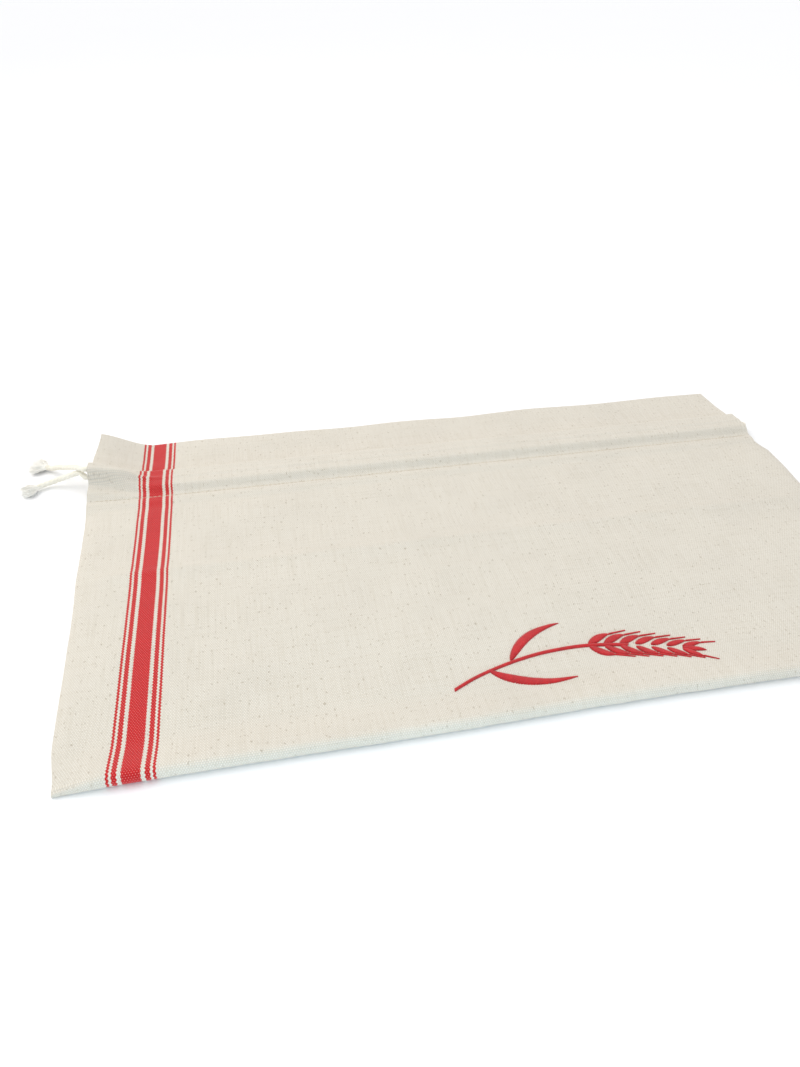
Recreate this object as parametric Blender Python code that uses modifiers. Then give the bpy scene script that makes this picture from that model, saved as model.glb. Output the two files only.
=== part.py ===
"""Linen bread bag with a drawstring, lying flat.

Frame: X runs along the bottom fold from left to right, Y from the bottom fold to the
mouth, Z up.  The origin is under the middle of the bag, on the surface it lies on.
Lengths are metres.  v is the distance from the bottom fold, measured along the cloth.
"""
import math

import bmesh
import bpy
from mathutils import Vector

# ---- driving sizes -------------------------------------------------------------------
WIDTH = 0.513            # at the widest, where the slits start
HEIGHT = 0.300           # bottom fold to the mouth
CLOTH = 0.0010           # thickness of one layer
LAYER_STEP = 0.0014      # from the middle of one layer to the middle of the next
CORD = 0.0040            # drawcord diameter
CORD_CLEAR = 0.0003      # air between the cord and the cloth
LOWER_STITCH = 0.2305    # v of the row that closes the tunnel
UPPER_STITCH = 0.2605    # v of the row under the heading
HEM_END = 0.2265         # v of the turned-in end of each hem
SLIT_START = 0.2190      # v where the side seams stop
RIGHT_TURN_IN = 0.0064   # the right slit's edges are turned in this much more
SEAM_WIDTH = 0.0080      # seam allowance inside each side
SEAM_STEP = 0.0002       # the allowance stays this far inside the side edge

BODY_GAP = 0.0020        # air between front and back
FOLD_GAP = 0.0037        # the same in the puffy bottom fold
FOLD_REACH = 0.030       # v over which the puff dies away
FLAT_SIDE = 0.030        # waves and puff die away over this width at each side
EDGE_WAVE = 0.0009       # the bottom fold wanders this far in Y
EDGE_REACH = 0.050       # v over which the wandering dies away
CORNER_LIFT = 0.0150     # the left corner of the heading stands up
CORNER_START = 0.2240    # v where the left end starts to rise
SLIT_SHARE = 0.35        # part of the lift that is reached over the cord already
SLIT_RISE = 0.030        # over this much of the tunnel
CORNER_REACH = 0.050     # width of the lifted left end

BACK_CORD_V = 0.2525     # the back run of the cord
FRONT_CORD_V = 0.2410    # the front run
TURN_START = 0.0010      # the turn round the right slit starts this far inside it
CROSSING = 0.050         # near the left slit the front run climbs over the back one
HUMP_TOP = 0.0026        # half width of the level top over a run of cord
HUMP_FALL = 0.0074       # width of each flank
CLIMB_ROOM = 0.0030      # more room over the cord where it climbs
HUMP_RISE = CORD + 2 * CORD_CLEAR - (LAYER_STEP - CLOTH)

TUFT_HEIGHT = 0.0032     # of a tuft's middle over the surface
TUFT_SIDES = 12

# Soft folds of the front: where the middle lies, how the fold runs, and its shape.
# columns: x, v, direction in degrees from X, half length, half width, height
FOLDS = (
    (0.000, 0.150, 0.0, 0.330, 0.0060, 0.0012),
    (0.090, 0.020, 12.0, 0.070, 0.0110, 0.0010),
    (-0.110, 0.052, 24.0, 0.110, 0.0190, -0.0007),
    (-0.190, 0.130, 78.0, 0.070, 0.0170, 0.0008),
    (0.040, 0.085, 8.0, 0.150, 0.0220, 0.0007),
    (0.180, 0.215, -20.0, 0.090, 0.0180, 0.0008),
    (-0.060, 0.200, 14.0, 0.090, 0.0170, -0.0006),
    (0.170, 0.100, 40.0, 0.080, 0.0180, -0.0006),
)

# Places of the cloth's columns from the left side to the right, as parts of the width.
COLUMNS = (0.0, 0.0085, 0.0170, 0.0255, 0.0340, 0.0425, 0.0510, 0.0595, 0.0680, 0.0765,
           0.0850, 0.0935, 0.102, 0.13, 0.17, 0.21, 0.27, 0.34, 0.41, 0.48, 0.55, 0.62, 0.69,
           0.76, 0.83, 0.89, 0.95, 1.0)

# Half the width of the cloth. columns: v, half width
OUTLINE = ((0.000, 0.2470), (0.030, 0.2510), (0.100, 0.2522), (0.160, 0.2545),
           (0.200, 0.2557), (0.232, 0.2565), (0.2605, 0.2545), (0.300, 0.2510))

# The two free ends of the cord. columns: x, y, z of the points they pass through.
END_ROUTES = {
    "far": ((-0.25530, 0.10250, 0.01920), (-0.25830, 0.10265, 0.01920),
            (-0.26507, 0.10907, 0.01720), (-0.27332, 0.11675, 0.01300),
            (-0.28208, 0.12543, 0.00800), (-0.28760, 0.13150, 0.00370),
            (-0.29207, 0.13400, 0.00340)),
    "near": ((-0.25530, 0.10250, 0.01220), (-0.25830, 0.10270, 0.01235),
             (-0.26200, 0.10640, 0.01370), (-0.26600, 0.10770, 0.01270),
             (-0.27341, 0.11017, 0.00920), (-0.28169, 0.11271, 0.00520),
             (-0.28880, 0.11230, 0.00340), (-0.29440, 0.10930, 0.00320)),
}

# The tufts past the cord's ends. columns: part of the length, half width, half height
TUFT_SECTIONS = ((0.0, 0.0021, 0.0020), (0.2, 0.0025, 0.0022), (0.4, 0.0040, 0.0026),
                 (0.65, 0.0062, 0.0030), (0.9, 0.0078, 0.0028), (1.0, 0.0070, 0.0020))
TUFT_SIZES = {"far": (0.0130, 1.0), "near": (0.0125, 0.72)}

COLOURS = {
    "linen": ((0.84, 0.78, 0.68, 1.0), 0.9),
    "cotton_cord": ((0.87, 0.84, 0.75, 1.0), 0.85),
}


# ---- shape of the cloth --------------------------------------------------------------
def smooth(t):
    """0 below 0, 1 above 1, and a soft step between."""
    t = min(1.0, max(0.0, t))
    return t * t * (3.0 - 2.0 * t)


def hump(distance):
    """1 over a run of cord, falling to 0 on both sides."""
    past = abs(distance) - HUMP_TOP
    if past <= 0.0:
        return 1.0
    if past >= HUMP_FALL:
        return 0.0
    return 0.5 + 0.5 * math.cos(math.pi * past / HUMP_FALL)


def front_cord_v(x):
    """The front run climbs to the back run's place as it nears the left slit."""
    climb = 1.0 - smooth((x + WIDTH / 2) / CROSSING)
    return FRONT_CORD_V + (BACK_CORD_V - FRONT_CORD_V) * climb


def fold_height(x, v):
    """Sum of the soft folds of the front layer."""
    total = 0.0
    for fold_x, fold_v, direction, half_length, half_width, height in FOLDS:
        angle = math.radians(direction)
        along = (x - fold_x) * math.cos(angle) + (v - fold_v) * math.sin(angle)
        across = (v - fold_v) * math.cos(angle) - (x - fold_x) * math.sin(angle)
        total += height * math.exp(-(along / half_length) ** 2 - (across / half_width) ** 2)
    return total


def body_gap(x, v):
    """Air between the front and the back below the tunnel."""
    middle = smooth((half_width(v) - abs(x) - SEAM_WIDTH) / FLAT_SIDE)
    puff = (FOLD_GAP - BODY_GAP) * (1.0 - smooth(v / FOLD_REACH))
    ends = smooth((SLIT_START - v) / 0.03)
    waves = fold_height(x, v) * smooth(v / FOLD_REACH) * ends
    return BODY_GAP + middle * (puff + waves)


def stacked(lower, slope):
    """Middle of a layer lying on another one that has this slope."""
    return lower + LAYER_STEP * math.sqrt(1.0 + slope * slope)


def hump_slope(distance):
    """Slope of the back hem where it passes over the cord."""
    nudge = 0.0002
    return HUMP_RISE * (hump(distance + nudge) - hump(distance - nudge)) / (2 * nudge)


def layer_height(layer, x, v):
    """Height of the middle of a layer over the surface, before the corner lifts."""
    back = CLOTH / 2
    if layer == "back":
        return back
    if layer == "front" and v < HEM_END:
        meet = smooth((v - SLIT_START) / (HEM_END - SLIT_START))
        top = back + 3 * LAYER_STEP
        return (1.0 - meet) * (back + CLOTH + body_gap(x, v)) + meet * top
    over_cord = v - BACK_CORD_V
    slope = hump_slope(over_cord)
    back_hem = back + LAYER_STEP + HUMP_RISE * hump(over_cord)
    if layer == "back_hem":
        return back_hem
    front_hem = stacked(back_hem, slope)
    if layer == "front_hem":
        return front_hem
    room = HUMP_RISE + CLIMB_ROOM * abs(hump_slope(front_cord_v(x) - BACK_CORD_V))
    return stacked(front_hem, slope) + room * hump(v - front_cord_v(x))


def half_width(v, side=-1):
    """Half the width of the cloth at v, on the left (-1) or the right (1) side."""
    for (low, narrow), (high, wide) in zip(OUTLINE, OUTLINE[1:]):
        if v <= high:
            break
    half = narrow + (wide - narrow) * smooth((v - low) / (high - low))
    if side > 0:
        half -= RIGHT_TURN_IN * smooth((v - SLIT_START + 0.008) / 0.012)
    return half


def side_x(part, v):
    """x at this part of the width, 0 left and 1 right."""
    left, right = -half_width(v), half_width(v, 1)
    return left + (right - left) * part


def corner_lift(x, v):
    """The heading's left corner stands up from the surface."""
    sideways = smooth((CORNER_REACH - WIDTH / 2 - x) / CORNER_REACH)
    past = max(0.0, v - CORNER_START)
    slope = past / (HEIGHT - CORNER_START)
    return CORNER_LIFT * sideways * (SLIT_SHARE * smooth(past / SLIT_RISE)
                                     + (1.0 - SLIT_SHARE) * slope)


def place(x, v, z):
    """World point of the cloth at x and v, z above the surface."""
    wander = EDGE_WAVE * (1.0 + 0.6 * math.sin(13.0 * x + 0.6) + 0.4 * math.sin(31.0 * x))
    y = v - HEIGHT / 2 + wander * (1.0 - smooth(v / EDGE_REACH))
    return Vector((x, y, z + corner_lift(x, v)))


def spread(first, last, count):
    """count values from first to last, ends included."""
    return [first + (last - first) * i / (count - 1) for i in range(count)]


def cloth_rows():
    """The strip's rows, from the back hem's end, round the bottom, to the front hem's.

    Each row is (layer, v), or (layer, other layer, v, reach, angle) in a turn.
    """
    tunnel = spread(LOWER_STITCH, UPPER_STITCH, 22)
    mouth_reach = LAYER_STEP / 2
    mouth_v = HEIGHT - CLOTH / 2 - mouth_reach
    heading = spread(UPPER_STITCH + 0.008, mouth_v, 4)
    hem = [HEM_END] + tunnel + heading
    fold_reach = (BODY_GAP + CLOTH) / 2
    fold_v = fold_reach + CLOTH / 2
    body = spread(fold_v, SLIT_START, 17)
    rows = [("back_hem", v) for v in hem]
    rows += [("back_hem", "back", mouth_v, mouth_reach, a) for a in (45, 90, 135)]
    rows += [("back", v) for v in reversed(heading)]
    rows += [("back", v) for v in reversed(tunnel[::7])]
    rows += [("back", v) for v in reversed(body[::3])]
    rows += [("back", "front", fold_v, -fold_reach, a) for a in (30, 60, 90, 120, 150)]
    rows += [("front", v) for v in body + [HEM_END] + tunnel + heading]
    rows += [("front", "front_hem", mouth_v, mouth_reach, a) for a in (45, 90, 135)]
    rows += [("front_hem", v) for v in reversed(hem)]
    return rows


def row_point(row, part):
    """Point of a row at this part of the width, 0 left and 1 right."""
    v = row[1] if len(row) == 2 else row[2]
    x = side_x(part, v)
    if len(row) == 2:
        return place(x, v, layer_height(row[0], x, v))
    from_layer, to_layer, _, reach, degrees = row
    start = layer_height(from_layer, x, v)
    end = layer_height(to_layer, x, v)
    turn = math.radians(degrees)
    z = (start + end) / 2 + (start - end) / 2 * math.cos(turn)
    return place(x, v + reach * math.sin(turn), z)


# ---- objects -------------------------------------------------------------------------
def material(name):
    """A plain Principled material."""
    colour, roughness = COLOURS[name]
    made = bpy.data.materials.get(name) or bpy.data.materials.new(name)
    made.use_nodes = True
    shader = made.node_tree.nodes["Principled BSDF"]
    shader.inputs["Base Color"].default_value = colour
    shader.inputs["Roughness"].default_value = roughness
    shader.inputs["Metallic"].default_value = 0.0
    return made


def collect(piece, collection, finish=None):
    """Move the piece to its collection and give it its material."""
    for owner in list(piece.users_collection):
        owner.objects.unlink(piece)
    collection.objects.link(piece)
    if finish:
        piece.data.materials.clear()
        piece.data.materials.append(material(finish))
    return piece


def strip(name, columns, rows, point):
    """A grid whose corner at column i and row j stands at point(i, j)."""
    bpy.ops.mesh.primitive_grid_add(x_subdivisions=columns - 1, y_subdivisions=rows - 1, size=2)
    piece = bpy.context.object
    piece.name = name
    for vertex in piece.data.vertices:
        i = round((vertex.co.x + 1.0) / 2.0 * (columns - 1))
        j = round((vertex.co.y + 1.0) / 2.0 * (rows - 1))
        vertex.co = point(i, j)
    return piece


def thicken(piece, thickness):
    """Give an open surface its thickness, half to each side."""
    wall = piece.modifiers.new("Thickness", "SOLIDIFY")
    wall.thickness = thickness
    wall.offset = 0.0
    wall.use_even_offset = True
    wall.use_rim = True


def seam_allowance(side, cutters):
    """The allowance sewn inside one side, from the bottom fold to the slit."""
    stations = spread(0.0022, SLIT_START - 0.008, 14)

    def point(i, j):
        inward = SEAM_STEP + SEAM_WIDTH * (1 - i if side > 0 else i)
        x = side * (half_width(stations[j], side) - inward)
        return place(x, stations[j], CLOTH / 2 + (BODY_GAP + CLOTH) / 2)

    allowance = strip("seam_left" if side < 0 else "seam_right", 2, len(stations), point)
    thicken(allowance, BODY_GAP + CLOTH)
    allowance.hide_render = True
    allowance.display_type = "WIRE"
    return collect(allowance, cutters)


def bag_body(parts, cutters):
    """The bag's cloth, hems and seam allowances."""
    rows = cloth_rows()
    bag = strip("bag_body", len(COLUMNS), len(rows),
                lambda i, j: row_point(rows[j], COLUMNS[i]))
    thicken(bag, CLOTH)
    for side in (-1, 1):
        join = bag.modifiers.new("Side seam", "BOOLEAN")
        join.operation = "UNION"
        join.solver = "EXACT"
        join.object = seam_allowance(side, cutters)
    return collect(bag, parts, "linen")


def curve_points(route, spacing):
    """Points on the smooth curve through the route's points."""
    knots = [Vector(p) for p in route]
    knots = [2 * knots[0] - knots[1]] + knots + [2 * knots[-1] - knots[-2]]
    points = [knots[1]]
    for a, b, c, d in zip(knots, knots[1:], knots[2:], knots[3:]):
        steps = max(1, round((c - b).length / spacing))
        for k in range(1, steps + 1):
            t = k / steps
            points.append(0.5 * (2 * b + (c - a) * t + (2 * a - 5 * b + 4 * c - d) * t ** 2
                                 + (3 * b - a - 3 * c + d) * t ** 3))
    return points


def cord_tube(name, points, parts):
    """A cord along these points, with flat ends."""
    data = bpy.data.curves.new(name, "CURVE")
    data.dimensions = "3D"
    data.bevel_depth = CORD / 2
    data.bevel_resolution = 2
    data.render_resolution_u = 0
    data.use_fill_caps = True
    spline = data.splines.new("POLY")
    spline.points.add(len(points) - 1)
    for target, point in zip(spline.points, points):
        target.co = (*point, 1.0)
    data.materials.append(material("cotton_cord"))
    tube = bpy.data.objects.new(name, data)
    parts.objects.link(tube)
    return tube


def drawcord_route():
    """Left end of the front run, round the right slit, to the left end of the back run."""
    left = CORD_CLEAR - half_width(BACK_CORD_V)
    turn_x = half_width(BACK_CORD_V, 1) - TURN_START
    half = HEIGHT / 2
    on_cloth = CLOTH / 2 + CORD_CLEAR + CORD / 2
    points = []
    for x in spread(left, left + CROSSING, 14)[:-1] + spread(left + CROSSING, turn_x, 22):
        v = front_cord_v(x)
        slope = hump_slope(v - BACK_CORD_V)
        z = layer_height("front_hem", x, v) + on_cloth * math.sqrt(1.0 + slope * slope)
        z += CLIMB_ROOM / 4 * abs(slope)
        points.append(Vector((x, v - half, z + corner_lift(x, v))))
    start = points[-1]
    back_z = CLOTH / 2 + on_cloth
    radius = (BACK_CORD_V - half - start.y) / 2
    for degrees in range(-75, 90, 15):
        turn = math.radians(degrees)
        drop = smooth((degrees + 60) / 120)
        points.append(Vector((turn_x + radius * math.cos(turn),
                              start.y + radius + radius * math.sin(turn),
                              start.z + (back_z - start.z) * drop)))
    for x in spread(turn_x, left + CROSSING, 20)[:-1] + spread(left + CROSSING, left, 9):
        points.append(Vector((x, BACK_CORD_V - half, back_z + corner_lift(x, BACK_CORD_V))))
    return points


def cord_tuft(where, start, along, parts):
    """The opened strands past the cord's end, as one flat fan."""
    length, widen = TUFT_SIZES[where]
    bpy.ops.mesh.primitive_cylinder_add(vertices=TUFT_SIDES, radius=1.0, depth=2.0)
    tuft = bpy.context.object
    tuft.name = "tuft_" + where
    shape = bmesh.new()
    shape.from_mesh(tuft.data)
    last = len(TUFT_SECTIONS) - 1
    for k in range(1, last):
        bmesh.ops.bisect_plane(shape, geom=shape.verts[:] + shape.edges[:] + shape.faces[:],
                               plane_co=(0, 0, 2.0 * k / last - 1.0), plane_no=(0, 0, 1))
    side = Vector((-along.y, along.x, 0.0))
    for vertex in shape.verts:
        reach, wide, high = TUFT_SECTIONS[round((vertex.co.z + 1.0) / 2.0 * last)]
        vertex.co = (start + along * length * reach + side * wide * widen * vertex.co.x
                     + Vector((0, 0, high * vertex.co.y)))
    shape.to_mesh(tuft.data)
    shape.free()
    return collect(tuft, parts, "cotton_cord")


def cord_end(where, parts):
    """A free end of the cord with its tuft."""
    points = curve_points(END_ROUTES[where], 2.0 * CORD)
    cord_tube("cord_end_" + where, points, parts)
    along = points[-1] - points[-2]
    along.z = 0.0
    along.normalize()
    start = points[-1] + along * CORD_CLEAR
    start.z = TUFT_HEIGHT
    cord_tuft(where, start, along, parts)


def new_collection(name):
    """A collection under the scene."""
    made = bpy.data.collections.new(name)
    bpy.context.scene.collection.children.link(made)
    return made


def main():
    """Build the bag."""
    for old in list(bpy.data.objects):
        bpy.data.objects.remove(old)
    parts = new_collection("linen_bread_bag")
    cutters = new_collection("linen_bread_bag_cutters")
    bag_body(parts, cutters)
    cord_tube("drawcord_run", drawcord_route(), parts)
    for where in END_ROUTES:
        cord_end(where, parts)


main()
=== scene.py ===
"""Looks of the linen bread bag, laid out as an add-on.

The bag lies flat: X runs along the bottom fold, Y to the mouth, Z up, in metres.
v is the distance from the bottom fold, measured along the cloth.
"""

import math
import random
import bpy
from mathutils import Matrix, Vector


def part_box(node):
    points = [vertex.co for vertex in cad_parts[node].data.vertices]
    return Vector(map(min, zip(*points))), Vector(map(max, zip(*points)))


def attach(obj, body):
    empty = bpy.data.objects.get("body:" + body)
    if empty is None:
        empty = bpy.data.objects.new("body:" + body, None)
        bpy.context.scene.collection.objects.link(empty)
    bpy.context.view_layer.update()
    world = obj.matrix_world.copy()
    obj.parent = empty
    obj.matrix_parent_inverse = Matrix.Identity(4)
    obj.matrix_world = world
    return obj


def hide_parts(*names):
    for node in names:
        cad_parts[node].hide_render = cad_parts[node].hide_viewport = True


bl_info = {
    "name": "Linen Bread Bag",
    "version": (1, 0, 0),
    "blender": (4, 5, 0),
    "location": "3D View > Sidebar > Bread Bag",
    "description": "Makes the cloth, stitches, embroidery, cord and stage of a linen bread bag",
    "category": "Object",
}

import bmesh
import bpy
from bpy.props import (FloatProperty, FloatVectorProperty, IntProperty, PointerProperty,
                       StringProperty)
from mathutils import Matrix, Vector, noise

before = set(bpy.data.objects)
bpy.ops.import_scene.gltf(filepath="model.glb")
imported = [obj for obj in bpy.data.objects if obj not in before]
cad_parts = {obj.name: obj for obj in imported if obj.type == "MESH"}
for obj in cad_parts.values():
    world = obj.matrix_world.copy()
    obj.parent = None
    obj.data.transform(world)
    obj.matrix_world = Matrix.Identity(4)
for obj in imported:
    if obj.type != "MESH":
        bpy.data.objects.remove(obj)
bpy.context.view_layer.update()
BAG_LOW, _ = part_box("bag_body")

# ---- sizes that follow the frame -------------------------------------------------------
WIDTH = -2 * BAG_LOW[0]  # at the widest, where the slits start
HEIGHT = 0.300           # bottom fold to the mouth
LOWER_STITCH = 0.2305    # v of the row that closes the tunnel
UPPER_STITCH = 0.2605    # v of the row under the heading
HEM_END = 0.2265         # v of the turned-in end of each hem
SLIT_START = 0.2190      # v where the side seams stop
RIGHT_TURN_IN = 0.0064   # the right slit's edges are turned in this much more
BACK_CORD_V = 0.2525     # the back run of the cord
FRONT_CORD_V = 0.2410    # the front run
TURN_START = 0.0010      # the turn round the right slit starts this far inside it
CROSSING = 0.050         # near the left slit the front run climbs over the back one
CORNER_START = 0.2240    # v where the left end starts to rise
SLIT_SHARE = 0.35        # part of the left end's lift that the tunnel takes up
SLIT_RISE = 0.030        # it does so over this much of v
CORNER_REACH = 0.044     # width of the lifted left end
HUMP_TOP = 0.0018        # half width of the level top over a run of cord
HUMP_FALL = 0.0072       # width of each flank
CLIMB_ROOM = 0.0016      # more room over the cord where it climbs
SIDE_ROUND = 0.010       # width of the rounded edge along each side seam
LEAST_GAP = 0.00035      # least air between front and back
RUFFLE = 0.0016          # height of the heading's waves
DIMPLE = 0.00055         # how deep a row of stitches draws the cloth down
PUCKER = 0.00045         # height of the puckers beside a row
PUCKER_REACH = 0.0028    # from the row to its puckers, and their width
GATHER = 0.0007          # height of the ridges that run into the left slit
GATHER_REACH = 0.036     # how far they run from it
GATHER_PITCH = 0.0062    # from a ridge to the next hollow
TACK = 0.0009            # depth of the tacked ends of the two rows

# Half the width of the cloth. columns: v, half width
OUTLINE = ((0.000, 0.2470), (0.030, 0.2510), (0.100, 0.2522), (0.160, 0.2545),
           (0.200, 0.2557), (0.232, 0.2565), (0.2605, 0.2545), (0.300, 0.2510))

# Soft folds of the front: where the middle lies, how the fold runs, and its shape.
# columns: x, v, direction in degrees from X, half length, half width, height
FOLDS = (
    (0.090, 0.020, 12.0, 0.070, 0.0110, 0.0009),
    (-0.110, 0.052, 24.0, 0.110, 0.0190, -0.0007),
    (-0.190, 0.130, 78.0, 0.070, 0.0170, 0.0007),
    (0.040, 0.085, 8.0, 0.150, 0.0220, 0.0006),
    (0.180, 0.215, -20.0, 0.090, 0.0180, 0.0007),
    (-0.060, 0.200, 14.0, 0.090, 0.0170, -0.0005),
    (0.170, 0.100, 40.0, 0.080, 0.0180, -0.0005),
    (-0.215, 0.208, 38.0, 0.028, 0.0055, 0.0009),
    (-0.230, 0.196, 62.0, 0.030, 0.0060, -0.0006),
    (-0.030, 0.028, -9.0, 0.060, 0.0090, 0.0006),
)

# The two free ends of the cord. columns: x, y, z of the points they pass through.
END_ROUTES = {
    "far": ((-0.25530, 0.10250, 0.01920), (-0.25830, 0.10265, 0.01920),
            (-0.26507, 0.10907, 0.01720), (-0.27332, 0.11675, 0.01300),
            (-0.28208, 0.12543, 0.00800), (-0.28760, 0.13150, 0.00370),
            (-0.29207, 0.13400, 0.00340)),
    "near": ((-0.25530, 0.10250, 0.01220), (-0.25830, 0.10270, 0.01235),
             (-0.26200, 0.10640, 0.01370), (-0.26600, 0.10770, 0.01270),
             (-0.27341, 0.11017, 0.00920), (-0.28169, 0.11271, 0.00520),
             (-0.28880, 0.11230, 0.00340), (-0.29440, 0.10930, 0.00320)),
}

CORD_ROOM = 0.0004       # from the cord to the layer it lies on
CORD_SLACK = 0.0002      # from the cord to the layer over it
COLUMNS = 171            # of the cloth's mesh, across the width
NUDGE = 0.0002           # step for measuring a slope
STITCH_SEAT = 0.0008     # a thread stands out from the cloth this far round it
STRAND = 0.00026         # radius of one strand of the tufts
TUFT_OVERLAP = 0.0012    # the strands start this far inside the cord
TUFT_NECK = 0.0016       # half width of a tuft where it leaves the cord
TUFT_NECK_RISE = 0.0014  # half its height there
TUFT_RISE = 0.0034       # half its height where it is widest

# The tufts past the cord's ends. columns: length, half width of the fan
TUFT_SIZES = {"far": (0.0132, 0.0080), "near": (0.0126, 0.0056)}

# Half of the woven stripe group, from its middle out.
# columns: distance in mm where the band starts, 1 for red and 0 for natural
STRIPE_BANDS = ((0.0, 1), (4.6, 0), (6.6, 1), (9.05, 0), (10.3, 1), (11.65, 0))
STRIPE_REACH = 16.0      # mm from the stripe group's middle, past its last band
TOOTH = 0.00017          # how far a pick pushes the stripe's edge

# Weave. Its threads are drawn a little coarser than real ones, so that they show.
UNSTEADY = 0.9           # a thread strays by up to half of this, in threads
CROWN_SHARE = 0.55       # how much of a thread's height is its own round crown
CLOUD = 0.12             # depth of the cloudy shade
STRAW_GRAIN = (620.0, 420.0, 1.0)  # flecks of 1.6 by 2.4 mm, as repeats in a metre


# ---- settings --------------------------------------------------------------------------
def length(name, description, default):
    """A length in metres that the user can change."""
    return FloatProperty(name=name, description=description, default=default, precision=5,
                         unit="LENGTH", subtype="DISTANCE")


def hex_colour(name, description, default):
    """A colour as sRGB hex."""
    return StringProperty(name=name, description=description, default=default)


class BagClothSettings(bpy.types.PropertyGroup):
    """Sizes and colours of the linen."""
    cloth: length("Cloth thickness", "Thickness of one layer of linen", 0.0009)
    layer_step: length("Layer step", "From one lying layer to the next", 0.0014)
    body_gap: length("Air inside", "Air between front and back", 0.0020)
    fold_gap: length("Bottom fold", "Air inside the puffy bottom fold", 0.0062)
    corner_lift: length("Corner lift", "Height that the heading's left corner stands up", 0.0150)
    warp_spacing: length("Warp spacing", "From one warp thread to the next", 0.00066)
    weft_spacing: length("Weft spacing", "From one weft thread to the next", 0.00100)
    stripe_x: length("Stripe place", "X of the stripe group's left edge", -0.2215)
    natural: hex_colour("Warp", "Half-bleached warp yarn", "E2DCD1")
    flax: hex_colour("Weft", "Unbleached flax weft", "CDC4B3")
    slub: hex_colour("Slubs", "Thicker, darker yarn places", "B9AD96")
    fleck: hex_colour("Flecks", "Specks of flax straw", "8F7E62")
    red: hex_colour("Stripe red", "Dyed cotton warp", "C8181C")
    dark_red: hex_colour("Stripe slubs", "Thicker, darker dyed yarn places", "931319")


class StitchSettings(bpy.types.PropertyGroup):
    """Sizes of the machine stitches."""
    stitch: length("Stitch length", "From one needle hole to the next", 0.0030)
    thread: length("Thread", "Diameter of the sewing thread", 0.00045)
    colour: hex_colour("Sewing thread", "Cotton sewing thread", "DDD3BF")
    shade: hex_colour("Shade", "Hollows of the sewing thread", "B9AC93")


class EmbroiderySettings(bpy.types.PropertyGroup):
    """Sizes and colour of the satin-stitched ear of wheat."""
    middle_x: length("Middle X", "Where the sprig's middle lies", 0.0300)
    middle_v: length("Middle V", "Distance of the sprig's middle from the fold", 0.0370)
    span: length("Span", "Length of the sprig", 0.1480)
    thread: length("Thread", "Width of one satin thread", 0.00050)
    padding: length("Padding", "Height of the satin over the linen", 0.0009)
    grains: IntProperty(name="Grains", description="Grains on each side of the ear", default=7)
    colour: hex_colour("Embroidery red", "Rayon embroidery thread", "CC1A20")
    shade: hex_colour("Shade", "Hollows between the satin threads", "A30F16")


class CordSettings(bpy.types.PropertyGroup):
    """Sizes and colour of the drawcord."""
    diameter: length("Cord diameter", "Twisted cotton cord", 0.0040)
    lay_length: length("Lay", "Length of one turn of the twist", 0.0120)
    strands: IntProperty(name="Strands", description="Fine strands in each tuft", default=230)
    colour: hex_colour("Cotton", "Undyed cotton", "F1ECDF")
    shade: hex_colour("Shade", "Hollows of the cord", "E2DBC9")
    # Painted light: this paler colour stands in for light passing between the loose fibres.
    fibres: hex_colour("Loose fibres", "Loose undyed fibres let more light through", "FFFDF8")
    fibre_shade: hex_colour("Fibre shade", "Hollows between the loose fibres", "F4F0E6")


class StageSettings(bpy.types.PropertyGroup):
    """Floor, light and camera."""
    floor: hex_colour("Floor", "Matt white table", "F7F7F8")
    mottle: hex_colour("Mottle", "Faint clouds of the table", "E9E9EC")
    sun: FloatProperty(name="Daylight", description="Strength of the soft light from behind",
                       default=0.95)
    window: FloatProperty(name="Window", description="Power of the window light at the left",
                          default=5.0, unit="POWER")
    fill: FloatProperty(name="Cool fill", description="Power of the cool light at the fold",
                        default=0.85, unit="POWER")
    sky: FloatProperty(name="Sky", description="Strength of the light from all round",
                       default=0.80)
    eye: FloatVectorProperty(name="Camera", description="Where the camera stands", size=3,
                             default=(-0.1256, -0.3747, 0.3286), subtype="TRANSLATION")
    yaw: FloatProperty(name="Turn", description="Turn of the camera from +Y to +X",
                       default=math.radians(11.42), subtype="ANGLE", unit="ROTATION")
    pitch: FloatProperty(name="Tilt", description="Tilt of the camera below level",
                         default=math.radians(39.58), subtype="ANGLE", unit="ROTATION")
    roll: FloatProperty(name="Roll", description="Roll of the camera",
                        default=math.radians(0.67), subtype="ANGLE", unit="ROTATION")
    lens: FloatProperty(name="Lens", description="Focal length", default=25.65, unit="CAMERA")


def settings(group):
    """The scene's settings of one group."""
    return getattr(bpy.context.scene, "bread_bag_" + group)


# ---- small tools -----------------------------------------------------------------------
def linear(text, alpha=1.0):
    """An sRGB hex colour as linear RGBA."""
    parts = [int(text[i:i + 2], 16) / 255.0 for i in (0, 2, 4)]
    made = [p / 12.92 if p <= 0.04045 else ((p + 0.055) / 1.055) ** 2.4 for p in parts]
    return (*made, alpha)


def smooth(t):
    """0 below 0, 1 above 1, and a soft step between."""
    t = min(1.0, max(0.0, t))
    return t * t * (3.0 - 2.0 * t)


def spread(first, last, count):
    """count values from first to last, ends included."""
    return [first + (last - first) * i / (count - 1) for i in range(count)]


def deselect():
    """Leave nothing selected."""
    for piece in list(bpy.context.selected_objects):
        piece.select_set(False)


def apply_modifiers(piece):
    """Apply every modifier of a piece, in order."""
    deselect()
    piece.select_set(True)
    bpy.context.view_layer.objects.active = piece
    for modifier in list(piece.modifiers):
        bpy.ops.object.modifier_apply(modifier=modifier.name)


def finish_piece(piece, material, slot, *nodes):
    """Give a piece its material and its place in the frame, and hide the parts it stands for."""
    piece.data.materials.clear()
    piece.data.materials.append(material)
    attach(piece, "root")
    if nodes:
        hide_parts(*nodes)


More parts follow.
